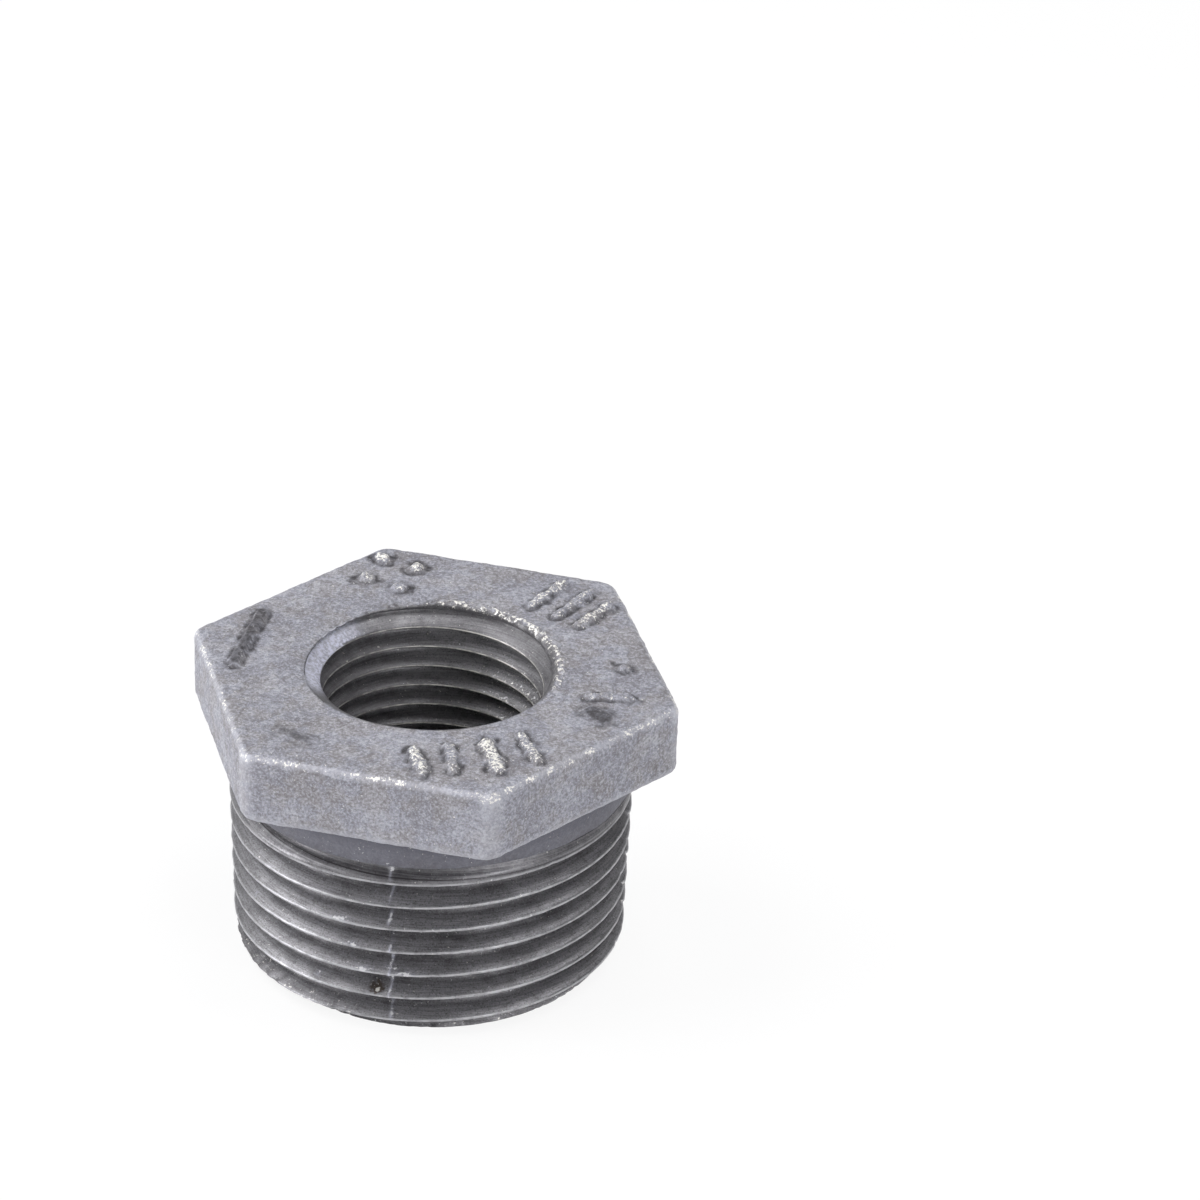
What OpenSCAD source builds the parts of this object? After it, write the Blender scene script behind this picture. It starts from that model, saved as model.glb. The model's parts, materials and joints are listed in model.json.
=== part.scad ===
// Hexagon-head reducing bushing, cast in black iron, with tapered pipe threads.
// It stands on its threaded end: the axis is Z and the free end is at z = 0.
// Two corners of the hexagon lie on the X axis. Lengths are in millimetres.

/* [Head] */
// Width across the flats of the hexagon
across_flats = 36.4; // [35.4:0.2:46]
// Height of the head
head_h = 6.4; // [4:0.1:14]
// Radius on the six upright corners of the head
corner_r = 1.5; // [0.4:0.1:4]
// Radius along the top and bottom edges of the head
edge_r = 0.7; // [0.2:0.1:1.8]
// Height of the raised foundry marks on the head's top
mark_h = 0.35; // [0.1:0.05:0.6]

/* [Shank] */
// Length of the shank below the head
shank_h = 19; // [16:0.5:30]
// Length of the plain neck between the thread and the head
neck_h = 2.6; // [1:0.1:4]
// Height that the cast neck stands out from the thread's last crest
neck_step = 0.08; // [0.04:0.02:0.3]
// Radius in the corner between the neck and the head
neck_fillet_r = 0.5; // [0.1:0.1:0.9]
// Diameter of the flat end, inside its chamfer
end_face_d = 30; // [27:0.2:31]

/* [Outside thread] */
// Threads in an inch of the outside thread
male_tpi = 11.5; // [10:0.5:16]
// Pitch diameter of the outside thread at the free end
male_pitch_d = 30.83; // [30:0.05:31.5]
// Width of the flat on the outside thread's crest
male_crest = 0.16; // [0.08:0.02:0.4]
// Length over which the outside groove runs out below the neck
male_runout = 1.2; // [0.6:0.1:5]
// Angle at which the outside groove meets the free end
male_start_a = 230; // [0:1:359]

/* [Inside thread] */
// Threads in an inch of the inside thread
female_tpi = 14; // [11:0.5:18]
// Pitch diameter of the inside thread at the mouth
female_pitch_d = 19.77; // [19.4:0.05:20.4]
// Depth of the inside thread below the top of the head
female_depth = 14; // [9:0.5:18]
// Length over which the inside groove runs out at its lower end
female_runout = 2.4; // [1:0.1:4]
// Angle at which the inside groove meets the top of the head
female_start_a = 226; // [0:1:359]
// Diameter of the drilled bore, which is reamed to the taper where the thread is cut
bore_d = 17.44; // [16.6:0.02:17.8]
// Outer diameter of the chamfer at the mouth
mouth_d = 20.5; // [19:0.1:23]
// Width of the chamfer at the bore's lower end
foot_chamfer = 0.6; // [0.2:0.1:1.5]

/* [Hidden] */

$fn = 96;

// Both ends of each mark's middle line, in x and y, and half its width
marks = [
    [-15.6, -4.6, -16, 4, 0.55],
    [-9.6, 12.4, -9.6, 12.4, 0.75],
    [-6.4, 11.6, -6.4, 11.6, 0.75],
    [-9.3, 16, -9.3, 16, 0.75],
    [-6.2, 15.4, -6.2, 15.4, 0.75],
    [4.9, 12.2, 6.3, 16.3, 0.5],
    [7.4, 11.2, 9, 15.9, 0.5],
    [9.6, 10.3, 11, 14.2, 0.5],
    [2.5, -13.4, 4.2, -16.4, 0.55],
    [5, -11.8, 6.4, -15.4, 0.5],
    [7.8, -10.6, 9.8, -14.2, 0.65],
    [10.2, -8.7, 12.3, -11.8, 0.55],
    [13.6, -0.9, 16.8, -0.2, 0.45],
    [15.1, 4.4, 15.1, 4.4, 0.6],
];

inch = 25.4;
taper = 1 / 16;      // growth of a pipe thread's diameter for each unit of length
flank_a = 30;        // slope of a flank from the plane across the axis
sharp_flat = 0.038;  // flat at the bottom of a groove, as a share of the pitch
male_steps = 48;     // facets in a turn of the outside thread
female_steps = 36;   // facets in a turn of the inside thread
clear = 0.02;        // what keeps two nearly equal round surfaces apart
over = 1;            // how far a cutter runs past the face that it cuts
mark_waist = 0.9;    // width of a bar between its round ends, as a share of theirs

total_h = shank_h + head_h;
thread_h = shank_h - neck_h;
male_pitch = inch / male_tpi;
female_pitch = inch / female_tpi;
bore_r = bore_d / 2;
mouth_chamfer = mouth_d / 2 - bore_r;

// Distance from the pitch line to a flat of the given width, along the radius.
function reach(pitch, flat) = (pitch / 2 - flat) / (2 * tan(flank_a));

// Share of the full depth that is left at a distance from where the groove ends.
function fade(left, runout) = max(0.01, min(1, left / runout));

// Outside thread: radius of its crest, and of the bottom of its groove, at height z.
function male_crest_r(z) = male_pitch_d / 2 + reach(male_pitch, male_crest) + z * taper / 2;
male_depth = reach(male_pitch, male_crest) + reach(male_pitch, sharp_flat * male_pitch);
function male_root_r(z) = male_crest_r(z) - male_depth * fade(thread_h - z, male_runout);

// Inside thread: radius of its reamed crest, which starts just clear of the drilled bore, and
// of the bottom of its groove, at height z.
female_low_z = total_h - female_depth;
female_low_r = bore_r / cos(180 / female_steps) + clear;
function female_crest_r(z) = female_low_r + (z - female_low_z) * taper / 2;
female_groove_d = female_pitch_d + 2 * reach(female_pitch, sharp_flat * female_pitch);
female_deep = female_groove_d / 2 - female_crest_r(total_h);
function female_root_r(z) = female_crest_r(z) + female_deep * fade(z - female_low_z, female_runout);

neck_r = male_crest_r(thread_h) + neck_step;

// A screw surface closed on the axis at both ends. tip and land are functions that give
// a radius for a height: tip at the middle of the groove or ridge, land between its turns.
// Each ring holds one turn's section: two points on the land with two on the tip between.
module screw(pitch, flat, tip, land, z_low, z_high, start_a, steps) {
    last = steps * (ceil((z_high - z_low) / pitch) + 2);
    function section(z) =
        let (half = flat / 2, wide = half + abs(tip(z) - land(z)) * tan(flank_a))
        [[land(z - wide), z - wide], [tip(z - half), z - half],
         [tip(z + half), z + half], [land(z + wide), z + wide]];
    rings = [
        for (i = [0 : last])
            let (a = start_a + 360 * i / steps, z = z_low + (i / steps - 1) * pitch)
            for (p = section(z)) [p[0] * cos(a), p[0] * sin(a), p[1]]
    ];
    low = len(rings);
    high = low + 1;
    // Point k of ring i. Past the ring's own four it is the first point a turn further on.
    function at(i, k) = k < 4 ? 4 * i + k : 4 * (i + steps);
    walls = [
        for (i = [0 : last - 1], k = [0 : i < last - steps ? 3 : 2])
            each [[at(i, k), at(i, k + 1), at(i + 1, k + 1)],
                  [at(i, k), at(i + 1, k + 1), at(i + 1, k)]]
    ];
    low_cap = [
        for (i = [0 : steps - 1]) [low, at(i, 0), at(i + 1, 0)],
        for (k = [0 : 3]) [low, at(0, k + 1), at(0, k)]
    ];
    high_cap = [
        for (i = [last - steps : last - 1]) [high, at(i + 1, 3), at(i, 3)],
        [high, at(last - steps, 3), at(last, 0)],
        for (k = [0 : 2]) [high, at(last, k), at(last, k + 1)]
    ];
    axis_ends = [[0, 0, z_low - 2 * pitch], [0, 0, rings[low - 1][2] + pitch]];
    polyhedron(concat(rings, axis_ends), concat(walls, low_cap, high_cap), convexity = 12);
}

// A slab between two opposite flats, with its four long edges rounded.
module rounded_slab() {
    half_w = across_flats / 2 - edge_r;
    rotate([90, 0, 90])
        linear_extrude(2 * across_flats, center = true)
            union() {
                for (x = [-half_w, half_w], y = [edge_r, head_h - edge_r])
                    translate([x, y]) circle(edge_r);
                translate([-half_w, 0]) square([2 * half_w, head_h]);
                translate([-half_w - edge_r, edge_r])
                    square([across_flats, head_h - 2 * edge_r]);
            }
}

// Hexagon outline with its six corners rounded.
module hexagon() {
    inner_r = (across_flats / 2 - corner_r) / cos(30);
    union() {
        for (a = [0 : 60 : 300]) rotate(a) translate([inner_r, 0]) circle(corner_r);
        for (a = [30, 90, 150])
            rotate(a) square([across_flats, inner_r], center = true);
        circle(inner_r, $fn = 6);
    }
}

// The head: the rounded outline, trimmed by a rounded slab across each pair of flats.
module head() {
    translate([0, 0, shank_h])
        intersection() {
            linear_extrude(head_h) hexagon();
            rounded_slab();
            rotate(60) rounded_slab();
            rotate(120) rounded_slab();
        }
}

// The raised marks: plain bars with round ends, and round pips. A bar's waist is narrower than
// its ends, so that no flat wall runs into a round one at a tangent.
module marks() {
    translate([0, 0, total_h - mark_h])
        linear_extrude(2 * mark_h)
            for (m = marks) {
                run = [m[2] - m[0], m[3] - m[1]];
                translate([m[0], m[1]]) {
                    circle(m[4], $fn = 16);
                    if (norm(run) > 0) {
                        translate(run) circle(m[4], $fn = 16);
                        rotate(atan2(run[1], run[0]))
                            translate([0, -mark_waist * m[4]])
                                square([norm(run), 2 * mark_waist * m[4]]);
                    }
                }
            }
}

// Plain neck, with a fillet up to the underside of the head.
module neck() {
    translate([0, 0, thread_h])
        rotate_extrude()
            difference() {
                square([neck_r + neck_fillet_r, neck_h + edge_r]);
                translate([neck_r, -over]) square([2 * neck_fillet_r, neck_h - neck_fillet_r + over]);
                translate([neck_r + neck_fillet_r, neck_h - neck_fillet_r]) circle(neck_fillet_r);
            }
}

// Threaded length. The cone of the end chamfer trims it, and passes clear of it above.
module outside_thread() {
    intersection() {
        screw(male_pitch, sharp_flat * male_pitch,
              function (z) male_root_r(z), function (z) male_crest_r(z),
              0, thread_h, male_start_a, male_steps);
        cylinder(h = thread_h, r1 = end_face_d / 2, r2 = end_face_d / 2 + thread_h);
    }
}

// What the tap takes out, from the top of the head down.
module inside_thread() {
    intersection() {
        screw(female_pitch, sharp_flat * female_pitch,
              function (z) female_root_r(z), function (z) female_crest_r(z),
              female_low_z, total_h + over,
              female_start_a - 360 * female_depth / female_pitch, female_steps);
        translate([0, 0, female_low_z])
            cylinder(h = female_depth + over, r = mouth_d);
    }
}

// The drilled bore, with a chamfer at the mouth and at the foot.
module bore() {
    translate([0, 0, -over]) cylinder(h = total_h + 2 * over, r = bore_r);
    translate([0, 0, total_h - mouth_chamfer])
        cylinder(h = mouth_chamfer + over, r1 = bore_r, r2 = bore_r + mouth_chamfer + over);
    translate([0, 0, -over])
        cylinder(h = foot_chamfer + over, r1 = bore_r + foot_chamfer + over, r2 = bore_r);
}

module bushing() {
    color([0.42, 0.42, 0.45])
        difference() {
            union() {
                head();
                marks();
                neck();
                outside_thread();
            }
            bore();
            inside_thread();
        }
}

bushing();
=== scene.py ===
"""Dresses a cast iron hexagon bushing: head and neck, two cut pipe threads, wear, and the stage."""
import json
import math
from functools import cached_property

import bpy
import numpy as np
from bpy.props import FloatProperty, FloatVectorProperty, IntProperty, PointerProperty
from mathutils import Matrix, Vector


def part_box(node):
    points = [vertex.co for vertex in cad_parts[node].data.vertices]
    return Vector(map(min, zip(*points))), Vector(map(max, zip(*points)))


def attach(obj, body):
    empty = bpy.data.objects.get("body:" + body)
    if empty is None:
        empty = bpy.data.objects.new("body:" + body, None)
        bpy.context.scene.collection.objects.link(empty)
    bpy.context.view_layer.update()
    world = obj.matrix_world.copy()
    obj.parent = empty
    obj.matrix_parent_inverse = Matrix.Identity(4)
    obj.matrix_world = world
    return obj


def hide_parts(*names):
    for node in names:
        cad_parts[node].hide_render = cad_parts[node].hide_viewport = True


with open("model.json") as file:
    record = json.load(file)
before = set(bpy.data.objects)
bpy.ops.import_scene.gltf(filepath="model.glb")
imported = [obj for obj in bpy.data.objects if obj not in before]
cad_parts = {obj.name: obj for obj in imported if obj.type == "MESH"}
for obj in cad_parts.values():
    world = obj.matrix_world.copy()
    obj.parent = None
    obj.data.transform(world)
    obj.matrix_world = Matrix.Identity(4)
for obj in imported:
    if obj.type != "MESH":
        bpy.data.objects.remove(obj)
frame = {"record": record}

bl_info = {
    "name": "Hexagon bushing",
    "version": (1, 0, 0),
    "blender": (4, 5, 0),
    "location": "3D View > Sidebar > Bushing",
    "description": "Makes a cast hexagon bushing and a plain stage for it",
    "category": "Add Mesh",
}

MM = 0.001
DEG = math.pi / 180
INCH = 25.4 * MM

LOW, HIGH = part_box("bushing")
MOUNTS = {mount["name"]: mount for mount in frame["record"]["mounts"]}
TOP_Z = MOUNTS["head_top"]["pos_m"][2]
BORE_R = MOUNTS["female_thread"]["dims"]["r_mm"] * MM

TAPER = 1 / 32  # growth of a pipe thread's radius for each unit of length
FLANK = 30 * DEG  # slope of a flank from the plane across the axis
SHARP = 0.038  # flat at the bottom of a groove, as a share of the pitch
SIDES = 6
SECTOR = 2 * math.pi / SIDES
IMAGE = 1200  # pixels along each side of the picture that the camera is set for


def length(name, description, mm):
    """A size, given in mm and kept in metres."""
    return FloatProperty(name=name, description=description, default=mm * MM, precision=5,
                         unit="LENGTH", subtype="DISTANCE")


def angle(name, description, degrees):
    """An angle, kept in radians."""
    return FloatProperty(name=name, description=description, default=degrees * DEG,
                         unit="ROTATION", subtype="ANGLE")


def colour(name, where, default):
    """A linear colour."""
    return FloatVectorProperty(name=name, description="Colour of " + where, default=default, size=3,
                               subtype="COLOR", min=0, max=1)


def factor(name, description, default, top=1.0):
    """A plain number from 0 to top."""
    return FloatProperty(name=name, description=description, default=default, min=0, max=top)


class BUSHING_PG_head(bpy.types.PropertyGroup):
    """Sizes of the cast head and neck."""

    across_flats: length("Across flats", "Width across the flats", (HIGH.y - LOW.y) / MM)
    height: length("Height", "Height of the head", 6.4)
    edge_r: length("Top edge radius", "Radius along the top edges", 0.7)
    under_r: length("Bottom edge radius", "Radius along the bottom edges", 0.95)
    corner_power: factor("Corner power", "Higher is sharper", 60, 400)
    neck_h: length("Neck", "Length of the plain neck below the head", 2.6)
    neck_step: length("Neck step", "Height above the thread's last crest", 0.08)
    fillet_r: length("Fillet", "Radius between neck and head", 0.5)
    wave: length("Unevenness", "How far the cast skin wanders from true", 0.015)


class BUSHING_PG_threads(bpy.types.PropertyGroup):
    """Sizes of the two tapered threads."""

    male_tpi: factor("Outside threads", "Threads in an inch", 11.5, 40)
    male_pitch_d: length("Outside pitch diameter", "Pitch diameter at the free end", 30.83)
    male_crest: length("Outside crest", "Width of the flat on the crest", 0.16)
    male_runout: length("Outside run-out", "Length over which the groove fades", 1.2)
    male_start: angle("Outside start", "Angle where the groove meets the free end", 230)
    end_d: length("End face", "Diameter inside its chamfer", 30)
    female_tpi: factor("Inside threads", "Threads in an inch", 14, 40)
    female_pitch_d: length("Inside pitch diameter", "Pitch diameter at the mouth", 19.77)
    female_depth: length("Inside depth", "Depth of the inside thread", 14)
    female_runout: length("Inside run-out", "Length over which the groove fades", 2.4)
    female_start: angle("Inside start", "Angle where the groove meets the top", 226)
    mouth_d: length("Mouth", "Outer diameter of its chamfer", 20.5)
    foot: length("Foot chamfer", "Width at the bore's lower end", 0.6)


class BUSHING_PG_wear(bpy.types.PropertyGroup):
    """Sizes of the casting's flaws and of the wear."""

    burr: length("Burr", "Height of the mouth's torn rim", 0.24)
    jag: length("Jags", "Height of the mouth's jagged lip", 0.07)
    dish: length("Dish", "Depth of the hollow beside that lip", 0.12)
    moat: length("Moat", "Depth of the hollow round each mark", 0.08)
    seam: length("Seam", "Height of the mould's joint line", 0.08)
    seam_w: length("Seam width", "How far from its middle the seam fades", 0.12)
    torn: length("Torn end", "Depth of the tears at the free end", 0.1)
    end_wear: length("End wear", "Depth of the wear on its edge", 0.05)
    ripple: length("Ripple", "Unevenness of the cut threads", 0.008)
    nick: length("Nicks", "Depth of the nicks in the crest", 0.07)
    nicks: IntProperty(name="Nick count", description="How many small nicks there are", default=46)


class BUSHING_PG_finish(bpy.types.PropertyGroup):
    """Colours of the iron, some of which also serve as painted shade."""

    cast: colour("Cast skin", "the sandy cast skin", (0.242, 0.246, 0.287))
    cast_dark: colour("Cast grain", "the dark grains in it", (0.13, 0.12, 0.13))
    cast_light: colour("Cast light grain", "the light grains in it", (0.47, 0.475, 0.53))
    # Also painted shade: this colour darkens the moats round the marks, the jagged rim and the bore's
    # shaded walls
    grime_and_shade: colour("Grime", "the dirt in corners", (0.045, 0.042, 0.048))
    cast_warm: colour("Cast warm", "its warmer patches", (0.242, 0.235, 0.25))
    bright: colour("Bright metal", "places where the skin is rubbed through", (0.78, 0.76, 0.72))
    pale: colour("Pale metal", "the seam and the smooth part of the rim", (0.55, 0.56, 0.68))
    rubbed: colour("Rubbed crest", "the thread's crests", (0.42, 0.42, 0.44))
    # Painted shade: this colour stands for the shade under the overhanging head
    neck: colour("Neck", "the darker skin on the neck", (0.095, 0.095, 0.118))
    rust: colour("Rust", "the pit in the thread", (0.085, 0.07, 0.062))
    flake: colour("Flake", "chips on the crests and beads on the seam", (0.56, 0.56, 0.58))
    cut: colour("Cut metal", "the cut threads", (0.304, 0.301, 0.317))
    # Also painted shade: the groove bottoms and the flanks beside the inside crests are darkened toward
    # this colour
    cut_dark: colour("Cut metal, dark", "the bottom of the grooves", (0.034, 0.031, 0.034))
    grain: length("Grain", "Size of the sand grains in the skin", 0.22)
    streak: length("Tool marks", "Spacing of the cutter's marks", 0.07)


class BUSHING_PG_stage(bpy.types.PropertyGroup):
    """The camera, the lamps and the floor."""

    azimuth: angle("Azimuth", "Direction of the camera from +X", -73.3)
    elevation: angle("Elevation", "Height of the camera above the part", 31.3)
    roll: angle("Roll", "Turn of the camera about its own axis", 0.76)
    distance: length("Distance", "From the middle of the part to the camera", 460)
    lens: FloatProperty(name="Lens", description="Focal length", default=166.2, unit="CAMERA")
    middle_x: IntProperty(name="Middle X", description="Pixel of the part's middle", default=431)
    middle_y: IntProperty(name="Middle Y", description="Pixel of the part's middle", default=799)
    key: factor("Key lamp", "Watts of the large lamp on the left", 2.42, 100)
    side: factor("Side lamp", "Watts of the low lamp on the left", 1.78, 100)
    fill: factor("Fill lamp", "Watts of the lamp on the right", 0.88, 100)
    front: factor("Front lamp", "Watts of the lamp beside the camera", 1.5, 100)
    surround: factor("Surround", "Light from all round", 0.265)
    zenith: factor("Zenith", "Light from straight above, seen in metal", 0.08)
    floor: colour("Floor", "the floor", (0.85, 0.85, 0.86))


# Waves that make things uneven: their length in mm, number and seed
WAVES = {
    "swell": (4.0, 30, 1), "skin": (1.0, 40, 2), "mark": (1.4, 30, 11), "mark_side": (1.5, 20, 12),
    "mark_fine": (0.8, 30, 13), "moat": (1.3, 30, 14), "burr": (0.8, 30, 21), "jag": (0.7, 30, 22),
    "bead": (0.9, 30, 31), "astray": (1.6, 20, 32), "torn": (0.9, 40, 41), "cut": (1.3, 40, 42),
    "edge": (1.8, 30, 51),
}
# Shares that wander with those waves: their mean, swing, least and most
SHARES = {
    "moat": (0.75, 0.45, 0.2, 1), "burr": (0.7, 0.55, 0, 1.5), "jag": (0, 1, 0, 1.5),
    "bead": (0.65, 0.55, 0.1, 1.3), "torn": (0, 1, 0, 1.5), "edge": (0.42, 0.28, 0.1, 1),
}


def waves(points, name):
    """Sum of sine waves over points in space, scaled to about -1 to 1. Each wave has a random direction
    and phase, and a length near the one in WAVES: sum of sin(k . p + phase) / sqrt(count / 2)."""
    size, count, seed = WAVES[name]
    rng = np.random.default_rng(seed)
    direction = rng.normal(size=(count, 3))
    direction /= np.linalg.norm(direction, axis=1)[:, None]
    k = direction * (2 * math.pi / (size * MM) * rng.uniform(0.7, 1.5, count))[:, None]
    return np.sin(points @ k.T + rng.uniform(0, 2 * math.pi, count)).sum(1) / math.sqrt(count / 2)


def patchy(points, name):
    """A share that wanders over points: mean + swing * waves, kept between its least and its most."""
    mean, swing, least, most = SHARES[name]
    return np.clip(mean + swing * waves(points, name), least, most)


def ease(x, low, high):
    """Smooth step: 0 below low, 1 above high, and 3 t^2 - 2 t^3 between them."""
    t = np.clip((x - low) / (high - low), 0, 1)
    return t * t * (3 - 2 * t)


def bell(x, width):
    """1 at x = 0, and less on both sides of it: exp(-(x / width)^2)."""
    return np.exp(-(x / width) ** 2)


def facing(azimuth, middle, whole, none):
    """1 within `whole` degrees of the azimuth `middle`, and 0 beyond `none` degrees from it."""
    return ease(np.cos(azimuth - middle * DEG), math.cos(none * DEG), math.cos(whole * DEG))


def below_top(z, none, whole):
    """0 where z is lower than `none` mm below the head's top, and 1 where it is above `whole` mm."""
    return ease(z, TOP_Z - none * MM, TOP_Z - whole * MM)


FLATS = SECTOR * (np.arange(SIDES) + 0.5)
# How far each flat stands off its true place, from the one next to +X on
FLAT_SHIFT = np.array([0, 0.38, -0.22, -0.2, 0.06, 0.02]) * MM


def hexagon(theta, head, inset):
    """Polar radius of the rounded hexagon at angle theta, with its flats moved in by inset. It is the
    power mean of the six flats: (sum of (cos(theta - n) / a) ^ p) ^ (-1 / p), over each flat's normal
    direction n and distance a, where the cosine is positive."""
    a = head.across_flats / 2 + FLAT_SHIFT - inset
    near = np.maximum(0, np.cos(theta[:, None] - FLATS)) / a
    return (near ** head.corner_power).sum(1) ** (-1 / head.corner_power)


SEAM_A = -84.5 * DEG
SEAM_COLUMNS = np.array([-13, -7.5, -2.5, 2.5, 7.5, 13]) * 0.001  # from the seam's middle
SEAM_GAP = 0.0018  # least angle between them and the other columns
COLUMNS_A_SIDE = 64
CROWDING = 0.5


def column_angles():
    """Angles of the mesh columns: 60 degrees times (t - c sin(2 pi t) / 2 pi), for t in even steps,
    which crowds them at the six corners, and a few more beside the seam."""
    t = np.arange(SIDES * COLUMNS_A_SIDE) / COLUMNS_A_SIDE
    even = SECTOR * (t - CROWDING * np.sin(2 * math.pi * t) / (2 * math.pi))
    seam = (SEAM_A + SEAM_COLUMNS) % (2 * math.pi)
    gap = np.abs(even[:, None] - seam).min(1)
    return np.sort(np.concatenate([even[gap > SEAM_GAP], seam]))


CAST, CUT, BORED = 0, 1, 2
SPARE_TURNS = 3  # turns of rows beyond a thread's ends, before they are cut off
NEAR = 0.004 * MM  # rows nearer than this to a thread's end are moved into it


class Skin:
    """Points and triangles of one closed skin about the axis, gathered zone by zone. A ring is one
    point for each column angle, and a zone joins rings from one border ring to the next."""

    def __init__(self, theta):
        self.theta = theta
        self.size = 0
        self.values, self.triangles, self.materials = [], [], []

    def add(self, r, z, a, crest, deep, kind):
        """Keeps points given as arrays that fit each other, and returns their numbers as one array."""
        table = np.stack(np.broadcast_arrays(r, z, a, crest, deep, kind))
        self.values.append(table.reshape(len(table), -1))
        numbers = np.arange(self.size, self.size + table[0].size).reshape(table[0].shape)
        self.size += table[0].size
        return numbers

    def join(self, rows, kind, flip=False):
        """Two triangles for each cell of a table of point numbers whose last column repeats the first
        ring's start. Cells that have shrunk to a line or a point are dropped."""
        a, b, c, d = rows[:-1, :-1], rows[:-1, 1:], rows[1:, 1:], rows[1:, :-1]
        both = np.concatenate([np.stack(three, -1).reshape(-1, 3) for three in ((a, b, c), (a, c, d))])
        both = both[(both != np.roll(both, 1, axis=1)).all(1)]
        self.triangles.append(both[:, ::-1] if flip else both)
        self.materials.append(np.full(len(both), kind))

    def band(self, first, r, z, kind, last=None):
        """A zone of plain rings, with a row of r, z or both for each new ring. It starts at the ring
        `first` and, where `last` is given, ends at that ring. Returns the final ring."""
        rings = self.add(r, z, self.theta, 0.0, 0.0, kind)
        rows = np.concatenate([[first], rings] if last is None else [[first], rings, [last]])
        self.join(np.column_stack([rows, rows[:, 0]]), kind)
        return rows[-1]

    def thread(self, form, low_z, high_z, kind, flip=False):
        """A zone whose rows follow the thread. A row at angle t is at height centre(t) + offset, where
        centre(t) = low_z + pitch * (t - start) / (2 pi) + a whole number of pitches, cut off at both
        ends. form.surface gives radius, crest and depth at a height and a distance along the axis from
        the groove's middle. Returns the lowest and highest rings."""
        pitch = form.pitch
        rise = pitch * (self.theta - form.start) / (2 * math.pi)
        first = math.floor(-rise.max() / pitch) - SPARE_TURNS
        final = math.ceil((high_z - low_z - rise.min()) / pitch) + SPARE_TURNS
        steps = (np.arange(first, final)[:, None] * pitch + form.offsets).ravel()
        raw = low_z + rise + steps[:, None]

        def place(z, column):
            """Adds points at the given heights and columns."""
            d = (z - low_z - rise[column] + pitch / 2) % pitch - pitch / 2
            r, crest, deep = form.surface(z, d)
            return self.add(r, z, self.theta[column], crest, deep, kind)

        every = np.arange(len(self.theta))
        low, high = (place(np.full(len(every), level), every) for level in (low_z, high_z))
        below, above = raw <= low_z + NEAR, raw >= high_z - NEAR
        between = ~(below | above)
        rows = np.where(below, low, high)
        rows[between] = place(raw[between], np.broadcast_to(every, raw.shape)[between])
        turn = len(form.offsets)
        wrap = np.concatenate([rows[turn:, 0], np.full(turn, high[0])])
        self.join(np.column_stack([rows, wrap]), kind, flip)
        return low, high

    def radii(self, ring):
        """Distances of a ring's points from the axis."""
        return np.concatenate(self.values, axis=1)[0, ring]

    def arrays(self):
        """All points, attributes and triangles as whole arrays."""
        r, z, a, crest, deep, kind = np.concatenate(self.values, axis=1)
        points = np.column_stack([r * np.cos(a), r * np.sin(a), z])
        triangles, materials = np.concatenate(self.triangles), np.concatenate(self.materials)
        return points, crest, deep, kind, triangles, materials


LEAST_FADE = 0.01  # share of a groove's depth that is left where it has faded
CREST_FADE = (0.01 * MM, 0.1 * MM)  # depths where a crest starts to fade, and is gone
CREST_EDGE = (0.42, 0.46)  # from the groove's middle to the crest's edge, in pitches
OUTSIDE_STEPS = (0.35 * MM, 0.68 * MM, 0.92 * MM)  # rows along a flank, from the middle
INSIDE_STEPS = (0.28 * MM, 0.55 * MM, 0.75 * MM, 0.87 * MM)


def reach(pitch, flat):
    """Distance along the radius from the pitch line to a flat of the given width."""
    return (pitch / 2 - flat) / (2 * math.tan(FLANK))


def mirrored(offsets):
    """Offsets from the middle of a groove, on both of its sides, in rising order."""
    half = np.sort(np.asarray(offsets))
    return np.concatenate([-half[::-1], half])


class Thread:
    """Form of a tapered thread: its pitch, and the V of its groove."""

    def __init__(self, tpi, start, runout):
        self.pitch = INCH / tpi
        self.start = start
        self.runout = runout
        self.half = SHARP * self.pitch / 2
        self.to_bottom = reach(self.pitch, SHARP * self.pitch)

    def groove(self, left, d):
        """Depth of the nearest groove at distance d from its middle: a V with a narrow flat, less deep
        where less than a run-out is `left` to where it ends."""
        fade = np.clip(left / self.runout, LEAST_FADE, 1)
        return np.maximum(self.depth * fade - np.maximum(0, np.abs(d) - self.half) / math.tan(FLANK), 0)


class OutsideThread(Thread):
    """Form of the thread on the shank, up to where the neck starts."""

    def __init__(self, threads, top):
        super().__init__(threads.male_tpi, threads.male_start, threads.male_runout)
        self.top = top
        self.end_r = threads.end_d / 2
        crest = threads.male_crest
        self.base = threads.male_pitch_d / 2 + reach(self.pitch, crest)
        self.depth = reach(self.pitch, crest) + self.to_bottom
        edges = (self.pitch / 2 - crest / 2, self.pitch / 2 - crest / 4)
        self.offsets = mirrored([self.half, *OUTSIDE_STEPS, *edges])

    def surface(self, z, d):
        """Radius, crest and depth. The radius is the lower of the crest cone, the nearest groove's V
        and the end chamfer's cone."""
        cut = self.groove(self.top - (z - d), d)
        r = np.minimum(self.base + z * TAPER - cut, self.end_r + z)
        inner, outer = (share * self.pitch for share in CREST_EDGE)
        return r, (1 - ease(cut, *CREST_FADE)) * ease(np.abs(d), inner, outer), cut / self.depth


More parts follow.
